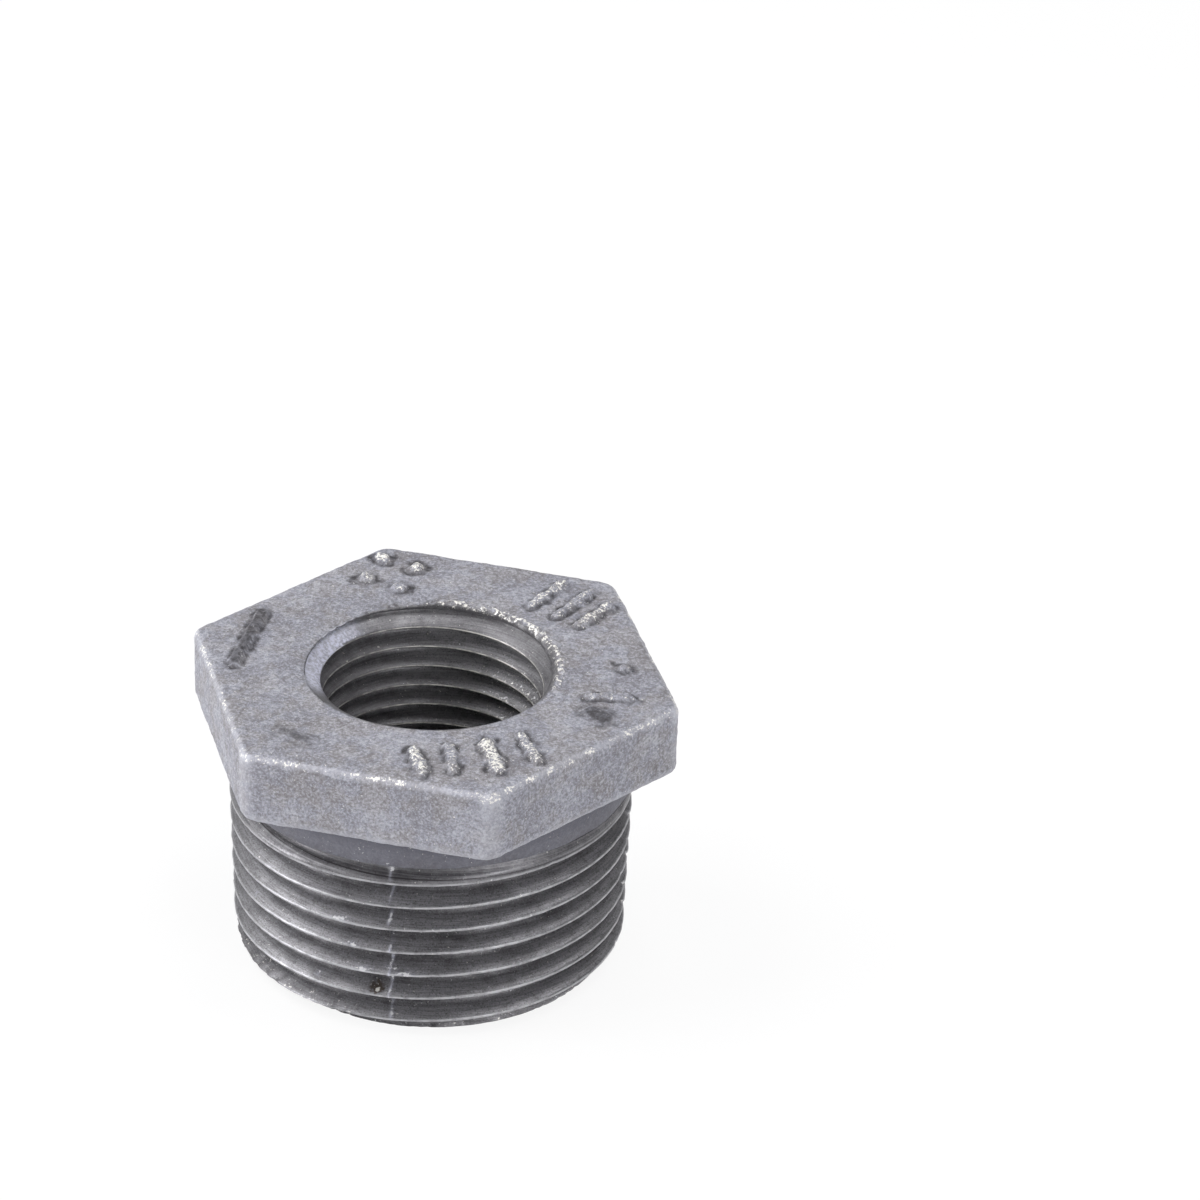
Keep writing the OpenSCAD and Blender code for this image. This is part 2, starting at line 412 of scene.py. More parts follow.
class InsideThread(Thread):
    """Form of the thread in the bore, from the mouth down to height `low`."""

    def __init__(self, threads):
        super().__init__(threads.female_tpi, threads.female_start, threads.female_runout)
        self.start -= 2 * math.pi * threads.female_depth / self.pitch
        self.low = TOP_Z - threads.female_depth
        self.mouth_r = threads.mouth_d / 2
        full = threads.female_pitch_d / 2 + self.to_bottom
        self.depth = full - threads.female_depth * TAPER - BORE_R
        self.offsets = mirrored([self.half, *INSIDE_STEPS])

    def surface(self, z, d):
        """Radius, crest and depth. The radius is the widest of the reamed cone, the nearest groove's V
        and the mouth chamfer's cone."""
        crest_r = BORE_R + (z - self.low) * TAPER
        r = np.maximum(crest_r + self.groove(z - d - self.low, d), self.mouth_r - (TOP_Z - z))
        return r, 1 - ease(r - crest_r, *CREST_FADE), (r - crest_r) / self.depth


FILLET_ROWS = 5
EDGE_ROWS = 6
SIDE_ROWS = 9
TOP_ROWS = 43
NECK_STEPS = (0.0, 0.45)  # heights of the neck's plain rings, as shares of its own
UNDER_STEPS = (0.25, 0.5, 0.75)  # rings of the underside, as shares of its width
BORE_STEPS = (0.75, 0.5, 0.2)  # rings of the plain bore, as shares of its height
END_STEPS = (0.15, 0.4, 0.65, 0.9)  # rings of the free end, as shares of its width


def blend(start, end, shares):
    """Rows between two rows: start + share * (end - start)."""
    return start + np.asarray(shares)[:, None] * (end - start)


def upright(values):
    """The values as rows of one column."""
    return np.asarray(values)[:, None]


def add_head(skin, ring, mouth, neck_r, head):
    """Neck, fillet, underside, lower edge, sides, upper edge and top: from the outside thread's last
    ring to the mouth's. The fillet and the edges are quarter turns."""
    under_z = TOP_Z - head.height
    neck_z = under_z - head.neck_h + upright(NECK_STEPS) * head.neck_h
    ring = skin.band(ring, neck_r, neck_z, CAST)
    turn = upright(np.linspace(0, 90, FILLET_ROWS)) * DEG
    fillet_z = under_z - head.fillet_r + head.fillet_r * np.sin(turn)
    ring = skin.band(ring, neck_r + head.fillet_r * (1 - np.cos(turn)), fillet_z, CAST)

    turn = upright(np.linspace(0, 90, EDGE_ROWS)) * DEG
    insets = (1 - np.sin(turn)).ravel()
    lower = np.array([hexagon(skin.theta, head, head.under_r * inset) for inset in insets])
    upper = np.array([hexagon(skin.theta, head, head.edge_r * inset) for inset in insets[::-1]])
    ring = skin.band(ring, blend(neck_r + head.fillet_r, lower[0], UNDER_STEPS), under_z, CAST)
    ring = skin.band(ring, lower, under_z + head.under_r * (1 - np.cos(turn)), CAST)
    low, high = under_z + head.under_r, TOP_Z - head.edge_r
    rise = upright(np.arange(1, SIDE_ROWS + 1) / (SIDE_ROWS + 1))
    ring = skin.band(ring, lower[-1], low + rise * (high - low), CAST)
    ring = skin.band(ring, upper, TOP_Z - head.edge_r * (1 - np.cos(turn[::-1])), CAST)
    shares = np.arange(1, TOP_ROWS + 1) / (TOP_ROWS + 1)
    skin.band(ring, blend(upper[-1], skin.radii(mouth), shares), TOP_Z, CAST, last=mouth)


def make_skin(head, threads):
    """The whole outside of the bushing as one closed skin, from the free end's inner edge out over the
    free end, up the outside thread, round the head, and down the bore back to the start."""
    skin = Skin(column_angles())
    outside = OutsideThread(threads, TOP_Z - head.height - head.neck_h)
    inside = InsideThread(threads)
    low, high = skin.thread(outside, 0, outside.top, CUT)
    bore_low, mouth = skin.thread(inside, inside.low, TOP_Z, BORED, True)
    neck_r = outside.base + outside.top * TAPER + head.neck_step
    add_head(skin, high, mouth, neck_r, head)

    foot_r = BORE_R + threads.foot
    ring = skin.band(bore_low, BORE_R, upright(BORE_STEPS) * inside.low, BORED)
    ring = skin.band(ring, upright([BORE_R, foot_r]), upright([threads.foot, 0.0]), BORED)
    skin.band(ring, blend(foot_r, skin.radii(low), END_STEPS), 0.0, CUT, last=low)
    return skin


def normals_of(points, triangles):
    """Unit normal at each point: the sum of its triangles' cross products, made one long."""
    a, b, c = (points[triangles[:, i]] for i in range(3))
    cross = np.cross(b - a, c - a)
    total = np.stack([np.bincount(triangles.ravel(), np.repeat(cross[:, i], 3), len(points))
                      for i in range(3)], 1)
    return total / np.maximum(np.linalg.norm(total, axis=1), 1e-20)[:, None]


def put(name, data):
    """An object in the scene that shows the data."""
    item = bpy.data.objects.new(name, data)
    bpy.context.scene.collection.objects.link(item)
    return item


def make_mesh(name, points, triangles, materials, attributes):
    """A smooth mesh from whole arrays, with point attributes and a material number for each face."""
    mesh = bpy.data.meshes.new(name)
    mesh.from_pydata(points, [], triangles)
    mesh.polygons.foreach_set("material_index", materials.astype(np.int32))
    mesh.polygons.foreach_set("use_smooth", np.ones(len(triangles), bool))
    for key, value in attributes.items():
        mesh.attributes.new(key, "FLOAT", "POINT").data.foreach_set("value", value.astype(np.float32))
    mesh.update()
    return put(name, mesh)


class Nodes:
    """Short ways to add shader nodes."""

    def __init__(self, owner, clear=False):
        owner.use_nodes = True
        self.tree = owner.node_tree
        if clear:
            self.tree.nodes.clear()

    @cached_property
    def place(self):
        """The point's coordinates in the object's own axes."""
        return self.add("ShaderNodeTexCoord").outputs["Object"]

    def feed(self, node, inputs):
        """Links a node's inputs to other nodes' outputs, or sets them."""
        for key, value in inputs.items():
            if isinstance(value, bpy.types.NodeSocket):
                self.tree.links.new(value, node.inputs[key])
            else:
                node.inputs[key].default_value = value

    def add(self, kind, inputs=None, **settings):
        """One node, with its inputs and settings."""
        node = self.tree.nodes.new(kind)
        for key, value in settings.items():
            setattr(node, key, value)
        self.feed(node, inputs or {})
        return node

    def moved(self, location, scale):
        """The point's coordinates, scaled and then moved."""
        inputs = {"Vector": self.place, "Location": location, "Scale": scale}
        return self.add("ShaderNodeMapping", inputs).outputs["Vector"]

    def noise(self, size, detail=3.0, roughness=0.6, stretch=(1, 1, 1)):
        """Noise whose blobs measure `size`, drawn out along an axis by its stretch."""
        place = self.moved((0, 0, 0), [1 / (size * s) for s in stretch])
        inputs = {"Vector": place, "Scale": 1.0, "Detail": detail, "Roughness": roughness}
        return self.add("ShaderNodeTexNoise", inputs).outputs["Fac"]

    def ramp(self, value, low, high, start=0.0, end=1.0):
        """Maps low..high to start..end, and holds the ends."""
        inputs = {"Value": value, "From Min": low, "From Max": high, "To Min": start, "To Max": end}
        return self.add("ShaderNodeMapRange", inputs, interpolation_type="SMOOTHSTEP").outputs["Result"]

    def math(self, operation, a, b, clamp=False):
        """Sum, product, difference or greater of two values."""
        return self.add("ShaderNodeMath", {0: a, 1: b}, operation=operation, use_clamp=clamp).outputs[0]

    def between(self, share, a, b):
        """Number between a and b."""
        return self.add("ShaderNodeMix", {0: share, 2: a, 3: b}).outputs[0]

    def mix(self, share, a, b):
        """Colour between a and b."""
        a, b = (c if isinstance(c, bpy.types.NodeSocket) else (*c, 1) for c in (a, b))
        return self.add("ShaderNodeMix", {0: share, 6: a, 7: b}, data_type="RGBA").outputs[2]

    def tint(self, colour, layers):
        """Lays colours over a first one. Each layer is a field, the field's values where the colour
        starts to show and where it shows most, how much that is, and the colour."""
        for field, start, full, most, over in layers:
            colour = self.mix(self.ramp(field, start, full, 0.0, most), colour, over)
        return colour

    def attribute(self, name):
        """A point attribute of the mesh."""
        return self.add("ShaderNodeAttribute", attribute_name=name).outputs["Fac"]

    def grown(self, name, field, weight, low, high):
        """1 in patches of the field that grow together as the attribute goes from 0 to 1."""
        more = self.math("MULTIPLY", self.attribute(name), weight)
        return self.ramp(self.math("ADD", field, more), low, high)

    def specks(self):
        """1 in small specks, for the attribute `worn`."""
        return self.grown("worn", self.noise(0.26 * MM, 2.5, 0.7), 0.26, 0.66, 0.78)

    def flakes(self):
        """1 in irregular patches, for the attribute `flake`."""
        return self.grown("flake", self.noise(0.34 * MM, 2.0, stretch=(1, 1, 0.6)), 0.34, 0.72, 0.79)

    def spot(self, azimuth, height, radius, size):
        """1 inside a ragged round spot on the outside, and 0 away from it."""
        centre = (radius * math.cos(azimuth), radius * math.sin(azimuth), height)
        place = self.moved([-c / size for c in centre], [1 / size] * 3)
        away = self.add("ShaderNodeVectorMath", {0: place}, operation="LENGTH").outputs["Value"]
        ragged = self.math("MULTIPLY", self.noise(0.3 * MM, 2.0), 1.6)
        return self.ramp(self.math("ADD", away, ragged), 1.9, 1.5)

    def bump(self, height, distance, strength=1.0, **normal):
        """Bump of a given height in metres, over another one's Normal where that is given."""
        inputs = {"Height": height, "Distance": distance, "Strength": strength, **normal}
        return self.add("ShaderNodeBump", inputs).outputs["Normal"]

    def seen_rays(self):
        """1 for rays from the eye, a reflection or glass, and 1 for those from the eye."""
        path = self.add("ShaderNodeLightPath").outputs
        by_eye = path["Is Camera Ray"]
        total = self.math("MAXIMUM", by_eye, path["Is Glossy Ray"])
        return self.math("MAXIMUM", total, path["Is Transmission Ray"]), by_eye


def cast_material(finish):
    """Sandy cast skin: dark and light grains in grey, soiling and painted shade, and bright metal where
    it is worn.
    """
    material = bpy.data.materials.new("cast_skin")
    n = Nodes(material)
    grain = n.noise(finish.grain, 4.0, 0.7)
    clump = n.noise(2.6 * finish.grain)
    patch = n.noise(2.2 * MM, 4.0)
    cloud = n.noise(5.0 * MM, 2.0, 0.5)
    skin = n.tint(finish.cast, (
        (patch, 0.44, 0.58, 1.0, finish.cast_warm),
        (cloud, 0.5, 0.7, 0.3, finish.cast_dark),
        (cloud, 0.5, 0.3, 0.25, finish.cast_light),
        (clump, 0.48, 0.36, 0.4, finish.cast_dark),
        (clump, 0.52, 0.64, 0.35, finish.cast_light),
        (grain, 0.5, 0.37, 0.6, finish.cast_dark),
        (grain, 0.5, 0.64, 0.55, finish.cast_light),
    ))
    skin = n.mix(n.attribute("pale"), skin, finish.cast_light)
    # Painted shade: the neck turns to the neck colour where band says, most just under the head
    skin = n.mix(n.attribute("band"), skin, finish.neck)
    # Soiling and painted shade: dark marks, moats round the marks (partly painted shade) and the jagged
    # rim (painted shadow)
    dirt = n.math("MULTIPLY", n.attribute("dirt"), n.ramp(clump, 0.35, 0.65, 1.0, 0.65))
    skin = n.mix(dirt, skin, finish.grime_and_shade)
    skin = n.mix(n.flakes(), skin, finish.flake)
    worn = n.specks()
    polish = n.math("MULTIPLY", worn, 0.2)
    n.feed(n.tree.nodes["Principled BSDF"], {
        "Base Color": n.mix(worn, skin, finish.bright),
        "Metallic": 0.2,
        "Roughness": n.math("SUBTRACT", n.ramp(patch, 0.3, 0.7, 0.56, 0.68), polish),
        "Normal": n.bump(grain, 0.13 * MM, Normal=n.bump(clump, 0.14 * MM, 0.9)),
    })
    return material


def cut_material(name, finish, line, spots=(), *, dark, lip, metallic, rough, edge):
    """Cut metal with fine marks round the axis. Its crests have the colour `line`, from where the
    attribute `crest` is at `edge`. The bottom of the grooves and the flank beside the crest are
    darkened as `dark` and `lip` say, which is painted shade. Each spot is a place for Nodes.spot, in
    degrees and mm, and a colour."""
    material = bpy.data.materials.new(name)
    n = Nodes(material)
    streak = n.noise(finish.streak, stretch=(45, 45, 1))
    fine = n.noise(0.14 * MM, roughness=0.65)
    stain = n.noise(0.6 * MM, 4.0, 0.65, (1.5, 1.5, 1))
    blotch = n.noise(1.6 * MM, stretch=(2, 2, 1))
    deep = n.attribute("deep")
    # Painted shade: darker toward the groove bottoms (dark) and on the flank beside the crest (lip);
    # the blotches are random tone
    shade = n.math("ADD", n.ramp(deep, 0.3, 1.0, 0.0, dark), n.ramp(deep, 0.55, 0.05, 0.0, lip))
    shade = n.math("ADD", shade, n.ramp(blotch, 0.45, 0.75, 0.0, 0.35), True)
    metal = n.tint(n.mix(shade, finish.cut, finish.cut_dark), (
        (streak, 0.35, 0.7, 0.42, finish.cut_dark),
        (stain, 0.55, 0.72, 0.4, finish.cut_dark),
        (fine, 0.52, 0.66, 0.55, finish.cut_dark),
        (fine, 0.42, 0.3, 0.35, finish.cast_light),
    ))
    broken = n.ramp(n.noise(0.9 * MM), 0.34, 0.62, 0.25, 1.0)
    metal = n.mix(n.math("MULTIPLY", n.ramp(n.attribute("crest"), edge, 1.0), broken), metal, line)
    lines = n.noise(0.13 * MM, 2.0, stretch=(300, 300, 1))
    band = n.attribute("band")
    for start, full, most, over in ((0.46, 0.36, 1, finish.cut_dark), (0.56, 0.66, 0.7, finish.rubbed)):
        share = n.math("MULTIPLY", n.ramp(lines, start, full, 0.0, most), band)
        metal = n.mix(share, metal, over)
    mottled = n.ramp(n.noise(0.3 * MM), 0.4, 0.62, 0.4, 1.0)
    pale = n.math("MULTIPLY", n.attribute("pale"), mottled)
    metal = n.mix(pale, metal, finish.pale)
    # Soiling on the pit, run-out and torn end; painted shade on the bore's shaded walls and under the
    # rim, painted shadow on the jagged rim
    dirt = n.math("MULTIPLY", n.attribute("dirt"), n.ramp(stain, 0.38, 0.6, 0.75, 1.0))
    metal = n.mix(dirt, metal, finish.grime_and_shade)
    for azimuth, height, radius, size, colour_there in spots:
        spot = n.spot(azimuth * DEG, height * MM, radius * MM, size * MM)
        metal = n.mix(spot, metal, colour_there)
    flakes = n.flakes()
    metal = n.mix(flakes, metal, finish.flake)
    n.feed(n.tree.nodes["Principled BSDF"], {
        "Base Color": n.mix(n.specks(), metal, finish.bright),
        "Metallic": n.ramp(n.math("MAXIMUM", pale, flakes), 0.0, 0.8, metallic, 0.2),
        "Roughness": n.ramp(blotch, 0.3, 0.7, rough - 0.06, rough + 0.06),
        "Normal": n.bump(fine, 0.02 * MM, 0.8, Normal=n.bump(streak, 0.014 * MM, 0.5)),
    })
    return material


# Raised foundry marks on the head's top, plain bars and round pips: in mm, both ends of the middle
# line, half the width and the height, and then how bright it is rubbed, or how dirty where negative
MARKS = np.array([
    (-15.6, -4.6, -16.0, 4.0, 0.55, 0.35, -0.75),
    (-9.6, 12.4, -9.6, 12.4, 0.75, 0.36, 0.6), (-6.4, 11.6, -6.4, 11.6, 0.75, 0.36, 0.5),
    (-9.3, 16.0, -9.3, 16.0, 0.75, 0.36, 0.9), (-6.2, 15.4, -6.2, 15.4, 0.75, 0.36, 0.8),
    (4.9, 12.2, 6.3, 16.3, 0.5, 0.36, 0.7), (7.4, 11.2, 9.0, 15.9, 0.5, 0.36, 0.5),
    (9.6, 10.3, 11.0, 14.2, 0.5, 0.36, 0.7), (2.5, -13.4, 4.2, -16.4, 0.55, 0.34, 0.8),
    (5.0, -11.8, 6.4, -15.4, 0.5, 0.34, 0.5), (7.8, -10.6, 9.8, -14.2, 0.65, 0.38, 0.9),
    (10.2, -8.7, 12.3, -11.8, 0.55, 0.34, 0.7), (13.6, -0.9, 16.8, -0.2, 0.45, 0.32, 0.4),
    (15.1, 4.4, 15.1, 4.4, 0.6, 0.32, 0.4), (-8.3, -13.7, -6.2, -14.4, 0.7, 0.07, -0.55),
    (14.4, -3.0, 15.6, -3.8, 0.9, 0.1, -0.9),
])

# Chips and lumps on the outside: azimuth in degrees, height, width along and up, and how far out
CHIPS = np.array([
    (-84.1, 15.9, 0.32, 0.3, 0.14), (-95.9, 8.07, 0.55, 0.14, 0.07), (-92.2, 5.92, 0.75, 0.2, 0.09),
    (-85.2, 6.3, 0.6, 0.14, 0.07), (-80.0, 5.95, 1.1, 0.13, 0.05), (-100.6, 14.37, 0.8, 0.1, 0.05),
    (-87.0, 14.2, 1.5, 0.2, 0.06), (-135.8, 7.99, 0.18, 0.15, 0.07), (-108.0, 3.95, 0.3, 0.13, 0.05),
    (-99.0, 10.3, 0.6, 0.1, 0.04),
])
PIT = (-88.6, 4.15, 0.6, 0.4, -0.22)
# Azimuth in degrees, height, distance from the axis and size of spots on the outside thread
PIT_SPOT = (-88.6, 4.14, 15.75, 0.66)
PIT_FLECK = (-88.3, 3.98, 15.9, 0.24)
SEAM_BEAD = (-84.3, 15.75, 16.55, 0.3)
# Notches in the outside crest, in the same columns, with the depth last
NOTCHES = np.array([
    (9.0, 4.17, 0.3, 0.3, 0.22), (7.0, 6.36, 0.25, 0.3, 0.2), (11.0, 8.6, 0.3, 0.3, 0.24),
    (8.0, 13.0, 0.35, 0.3, 0.2),
])

# Stretches of the round in degrees: a flaw's middle, and how far from it the flaw is whole and gone
BURR_SPAN = (52, 40, 70)
JAG_SPAN = (136, 25, 50)
DISH_SPAN = (-178, 24, 44)
GRIT_SPAN = (48, 15, 42)
TORN_SPAN = (-128, 22, 42)
CORNER_SPAN = (0, 3, 21)
# Rings around the mouth: radius and width
BURR_RING = (10.45 * MM, 0.55 * MM)
JAG_RING = (10.4 * MM, 0.4 * MM)
DISH_REACH = (10.3 * MM, 11.4 * MM)
# Zones below the head's top, in mm: where each starts and is whole
RIM_ZONE = (0.5, 0.2)
EDGE_ZONE = (1.4, 0.4)
GRIT_ZONE = (5.0, 2.0)
LIP_ZONE = (1.8, 1.4)
# Zones above the free end: where each starts to fade, and where it has gone
END_ZONE = (0.25 * MM, 0.9 * MM)
TORN_ZONE = (0.9 * MM, 2.6 * MM)
SEAM_START = (1.2 * MM, 1.9 * MM)
ASTRAY = 0.05 * MM  # how far the seam wanders
TOP_SLANT = 0.9  # least height of a normal that counts as the top's
END_SLANT = -0.95  # greatest one that counts as the free end's
END_R = 13.5 * MM  # where the free end starts to be worn
CORNER_R = 19 * MM  # beyond it are the hexagon's corners
NECK_OUT = 17.5 * MM  # beyond it is the head's underside
CRESCENT = 0.93  # how pale the hollow is

# How much of each flaw shows in each attribute
SHOWN = {
    "worn": {"edge": 1, "mark": 1, "burr": 0.82, "corner_top": 0.6, "nick": 0.4, "chip": 0.3,
             "torn": 0.3, "pit": 0.3, "grit": 0.3, "end_wear": 0.1},
    "flake": {"chip": 1, "seam": 0.7, "edge": 0.5, "nick": 0.5, "grit": 0.42, "end_wear": 0.1},
    "pale": {"crescent": 1, "corner": 1, "seam": 0.6, "whole_edge": 0.4, "under_edge": 0.4,
             "chip": 0.3},
    # Dark share: soiling on the pit, run-out, torn end and dark marks; painted shade in the moats
    # (partly), on the bore's shaded walls and under the rim; painted shadow on the jagged lip
    "dirt": {"moat": 1.45, "lee": 1, "pit": 0.8, "runout": 0.6, "torn": 0.6, "jag": 0.6},
    # band is painted shade on the cast neck, and the strength of the tool lines on cut metal
    "band": {"runout": 1, "neck": 1, "bore": 0.25},
}
CLEAN = 0.8  # how much less dirt is on chips and the seam


def nearness(at, spots):
    """Bells around spots on the outside, one column each: exp(-(along / width)^2 - (up / height)^2)."""
    spots = np.atleast_2d(spots)
    along = (at.azimuth[:, None] - spots[:, 0] * DEG + math.pi) % (2 * math.pi) - math.pi
    flat = along * at.r[:, None] / (spots[:, 2] * MM)
    up = (at.z[:, None] - spots[:, 1] * MM) / (spots[:, 3] * MM)
    return np.exp(-flat ** 2 - up ** 2)


class Place:
    """Each point of the unmoved skin: where it is, which way it faces and what it is part of."""

    def __init__(self, points, triangles, kind, head):
        self.points = points
        self.normals = normals_of(points, triangles)
        self.slant = self.normals[:, 2]
        self.r = np.hypot(points[:, 0], points[:, 1])
        self.azimuth = np.arctan2(points[:, 1], points[:, 0])
        self.z = points[:, 2]
        self.cast, self.cut, self.bored = kind == CAST, kind == CUT, kind == BORED
        self.on_top = self.cast & (self.slant > TOP_SLANT) & (self.r > BORE_R)
        self.under_z = TOP_Z - head.height
        self.thread_h = self.under_z - head.neck_h


def mark_flaws(at, wear):
    """The foundry marks over the top: how bright a place on one is, how dirty or near to one it is, and
    the height that they and the hollows round them give it. The darkening round each mark is partly a
    dirty hollow and partly painted shade."""
    table = MARKS * (*[MM] * 6, 1)
    start, line = table[:, :2], table[:, 2:4] - table[:, :2]
    half, tall, bright = table[:, 4:].T
    out = at.points[:, None, :2] - start
    t = np.clip((out * line).sum(2) / np.maximum((line ** 2).sum(1), (0.01 * MM) ** 2), 0, 1)
    away = np.linalg.norm(out - t[:, :, None] * line, axis=2) / half
    ragged = np.where(bright > 0, 0.12, 0.05)
    away = away * (1 + ragged * waves(at.points, "mark_side")[:, None])
    on = 1 - ease(away, 0.5, 1.2)
    uneven = 0.16 * waves(at.points, "mark") + 0.1 * waves(at.points, "mark_fine")
    uneven = uneven[:, None] * np.where(bright > 0, 1, 0.4)
    height = (on * tall * (1 + uneven)).max(1)
    # The dark ring round each mark is partly a dirty hollow and partly painted shade
    ring = ease(away, 0.75, 1.1) * (1 - ease(away, 1.3, 1.9))
    moat = (ring * np.sqrt(tall / tall.max())).max(1) * patchy(at.points, "moat")
    dirty = (on ** 2 * -bright).max(1)
    mark = (on * bright).max(1)
    flaws = {"mark": mark * at.on_top, "moat": np.maximum(moat, dirty) * at.on_top}
    return flaws, at.on_top * (height - wear.moat * moat)


def mouth_flaws(at, wear):
    """The flaws round the mouth, and how far they lift it. The hollow's wall is the crescent."""
    rim = (at.on_top | at.bored) * below_top(at.z, *RIM_ZONE)
    radius, width = BURR_RING
    burr = facing(at.azimuth, *BURR_SPAN) * bell(at.r - radius, width) * patchy(at.points, "burr") * rim
    radius, width = JAG_RING
    # Painted shadow: the jagged lip is also darkened for the rim's shadow; the jags themselves are real
    jag = bell(at.r - radius, width) * patchy(at.points, "jag") * facing(at.azimuth, *JAG_SPAN) * rim
    left = facing(at.azimuth, *DISH_SPAN)
    dish = left * (1 - ease(at.r, *DISH_REACH)) * rim
    crescent = CRESCENT * at.bored * left * ease(at.slant, 0.3, 0.6) * (at.z > TOP_Z - 1.2 * MM)
    lift = wear.burr * burr + wear.jag * jag - wear.dish * dish
    return {"burr": burr, "jag": jag, "crescent": crescent}, lift


def bore_flaws(at, deep, crescent):
    """Grit on the bore's right wall, and painted shade on the walls that face away from the light and
    just under the rim.
    """
    grit = at.bored * facing(at.azimuth, *GRIT_SPAN) * (1 - below_top(at.z, *GRIT_ZONE))
    grit = grit * (1 - 0.7 * deep)
    # Painted shade: the bore's left wall, less its right wall, and a band just under the rim are
    # darkened
    across = np.cos(at.azimuth)
    lee = at.bored * (0.65 * ease(-across, 0.1, 0.8) + 0.3 * ease(across, 0.2, 0.8))
    lee = np.maximum(lee, 0.5 * at.bored * below_top(at.z, *LIP_ZONE)) * (1 - crescent)
    bore = at.bored * (1 - crescent) * (at.z < TOP_Z - 0.6 * MM)
    return {"grit": grit, "lee": lee, "bore": bore}


def nick_places(threads, wear):
    """Places for nicks along the outside crest: azimuth, height, widths and depth, with the notches."""
    rng = np.random.default_rng(5)
    pitch = INCH / threads.male_tpi
    around = rng.uniform(0, 2 * math.pi, wear.nicks)
    turns = rng.integers(0, 7, wear.nicks)
    z = pitch * ((around - threads.male_start) / (2 * math.pi) % 1 + 0.5 + turns)
    wide = rng.uniform(0.12, 0.3, wear.nicks)
    small = np.column_stack([around / DEG, z / MM, wide, wide, 0 * wide + wear.nick / MM])
    return np.concatenate([small, NOTCHES])


def shank_flaws(at, crest, threads, wear):
    """The flaws on the neck and the outside thread, and how far they move it along the radius."""
    outside = at.cut | (at.cast & (at.z < at.under_z - 0.3 * MM))
    height = np.column_stack([0 * at.z, 0 * at.z, at.z])
    along = (at.azimuth - SEAM_A) * at.r + ASTRAY * waves(height, "astray")
    seam = bell(along, wear.seam_w) * outside * patchy(height, "bead") * ease(at.z, *SEAM_START)
    chips = nearness(at, CHIPS) * outside[:, None]
    pit = nearness(at, PIT)[:, 0] * at.cut
    places = nick_places(threads, wear)
    nicks = nearness(at, places) * at.cut[:, None]
    thread = at.cut * (at.slant > END_SLANT)
    end_wear = thread * (1 - ease(at.z, *END_ZONE)) * (at.r > END_R)
    torn = thread * (1 - ease(at.z, *TORN_ZONE)) * facing(at.azimuth, *TORN_SPAN)
    runout = at.cut * ease(at.z, at.thread_h - 2.0 * MM, at.thread_h - 1.3 * MM) * (1 - 0.6 * crest)

    ragged = patchy(at.points, "torn")
    out = wear.seam * seam + (chips * CHIPS[:, 4] * MM).sum(1) + PIT[4] * MM * pit * (1 + 0.3 * ragged)
    out = out - (nicks * places[:, 4] * MM).max(1)
    out = out - (wear.torn * torn + wear.end_wear * end_wear) * ragged
    out = out + wear.ripple * at.cut * waves(at.points, "cut")
    return {"seam": seam, "chip": chips.max(1), "pit": pit, "nick": nicks.max(1), "torn": torn,
            "end_wear": end_wear, "runout": runout}, out


def head_flaws(at, points):
    """Rubbed edges and corners of the head, and painted shade on the neck under the head. The points
    are the moved ones.
    """
    edge = ease(at.slant, 0.15, 0.5) * (1 - ease(at.slant, 0.8, 0.98)) * at.cast
    edge = edge * (at.z > TOP_Z - 1.2 * MM)
    corner = facing(SIDES * at.azimuth, *CORNER_SPAN) * at.cast * (at.r > CORNER_R)
    corner = corner * (1 - ease(at.slant, 0.75, 0.95))
    high = below_top(at.z, *EDGE_ZONE)
    under = at.cast * (at.z > at.under_z - 0.1 * MM) * ease(-at.slant, 0.1, 0.4) * (at.r > NECK_OUT)
    # Painted shade on the neck, stronger toward the head's underside
    neck = at.cast & (at.z < at.under_z - 0.2 * MM)
    shade = ease(at.z, at.thread_h - 0.2 * MM, at.under_z)
    return {"edge": edge * patchy(points, "edge"), "whole_edge": edge, "corner_top": corner * high,
            "corner": corner * (0.3 + 0.5 * high), "under_edge": under,
            "neck": neck * (0.72 + 0.28 * shade)}


